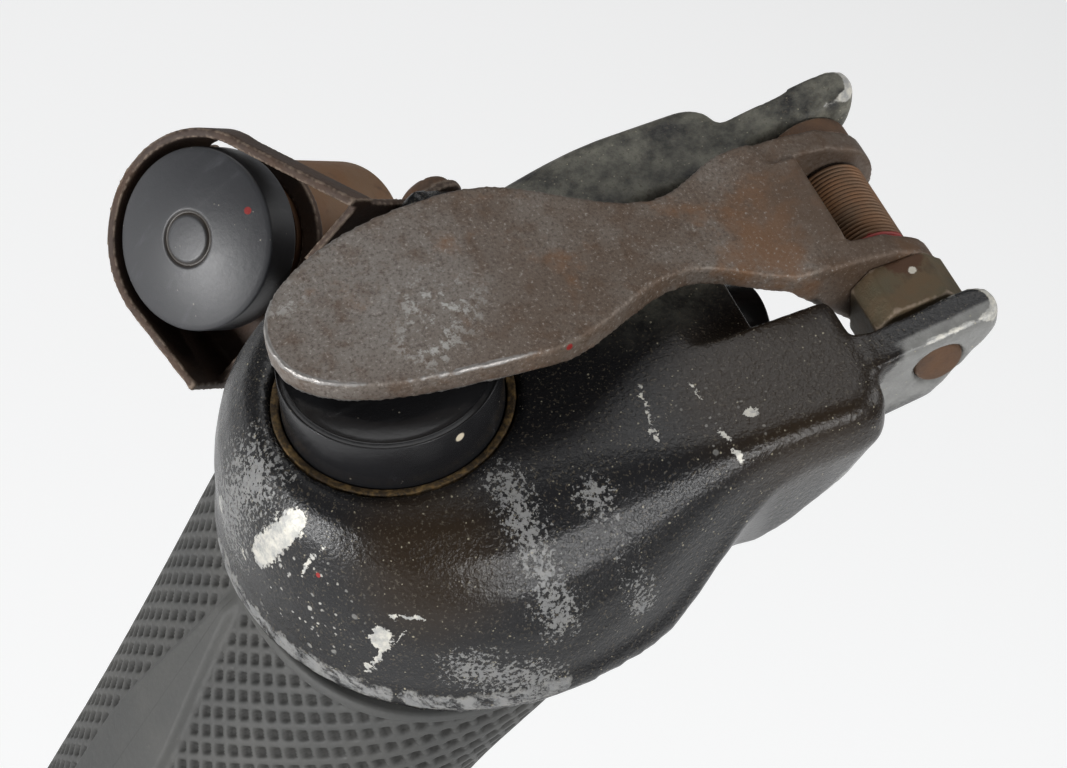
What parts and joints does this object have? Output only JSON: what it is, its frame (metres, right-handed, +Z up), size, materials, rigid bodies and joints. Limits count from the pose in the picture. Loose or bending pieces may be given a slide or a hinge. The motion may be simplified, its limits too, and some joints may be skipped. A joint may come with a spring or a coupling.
{
  "type": "aircraft control stick grip",
  "caption": "Raked control stick grip with a cast head, a flip-over trigger lever on a sprung hinge, and guarded thumb, top and front push buttons.",
  "frame": {"origin": "centre of the column socket's mouth, on the grip's axis", "axes": "+X to the user's right, +Y forward, away from the user, +Z up along the grip's axis"},
  "size_m": [0.0775, 0.0619, 0.1788],
  "materials": {
    "black_paint": "gloss black paint over a light-alloy casting, worn to bare metal on the edges",
    "core_alloy": "satin machined alloy",
    "grip_moulding": "matt dark grey moulding",
    "screw_steel": "dull steel",
    "rust_steel": "brown rusted steel",
    "lever_steel": "brown patinated steel, worn pale on the paddle",
    "block_steel": "olive brown steel",
    "guard_steel": "dark brown sheet steel",
    "spring_wire": "brown spring wire with a red paint band",
    "coil_wire": "plain spring wire",
    "bakelite": "brown phenolic moulding",
    "contact_brass": "plain brass",
    "ring_brass": "tarnished brass",
    "button_black": "gloss black moulding",
    "button_grey": "satin dark grey moulding"
  },
  "bodies": {
    "stick": {"head_casting": "black_paint", "grip_core": "core_alloy", "clamp_collar": "core_alloy", "grip_shell_left": "grip_moulding", "grip_shell_right": "grip_moulding", "shell_screws": "screw_steel", "head_screws": "screw_steel", "clamp_screws": "screw_steel", "clamp_nuts": "screw_steel", "hinge_pin": "rust_steel", "thumb_guard": "guard_steel", "guard_screws": "rust_steel", "thumb_switch_can": "rust_steel", "thumb_switch_body": "bakelite", "thumb_contacts": "contact_brass", "thumb_spring": "coil_wire", "top_switch_body": "bakelite", "top_contacts": "contact_brass", "top_spring": "coil_wire", "top_seal_ring": "ring_brass", "front_switch_body": "bakelite", "front_contacts": "contact_brass", "front_spring": "coil_wire", "hinge_spacer": "rust_steel"},
    "trigger_lever": {"trigger_lever": "lever_steel", "hinge_block": "block_steel", "hinge_spring": "spring_wire"},
    "top_button": {"top_button": "button_black", "top_bridge": "contact_brass"},
    "thumb_button": {"thumb_button": "button_grey", "thumb_bridge": "contact_brass"},
    "front_button": {"front_button": "button_black", "front_bridge": "contact_brass"}
  },
  "joints": [
    {"name": "lever_hinge", "type": "hinge", "parent": "stick", "child": "trigger_lever", "pos_m": [-0.0035, 0.02986, 0.17047], "axis": [-1, 0, 0], "range_deg": [0, 283]},
    {"name": "top_button_press", "type": "slide", "parent": "stick", "child": "top_button", "axis": [0, 0.5446, -0.8387], "range_m": [0, 0.003], "stiffness_N_per_m": 1200, "springref_m": -0.002, "deforming": ["top_spring"]},
    {"name": "thumb_button_press", "type": "slide", "parent": "stick", "child": "thumb_button", "axis": [-0.342, 0.9192, -0.1954], "range_m": [0, 0.0025], "stiffness_N_per_m": 1200, "springref_m": -0.002, "deforming": ["thumb_spring"]},
    {"name": "front_button_press", "type": "slide", "parent": "stick", "child": "front_button", "axis": [0, -0.9659, -0.2588], "range_m": [0, 0.0025], "stiffness_N_per_m": 1000, "springref_m": -0.002, "deforming": ["front_spring"]}
  ]
}
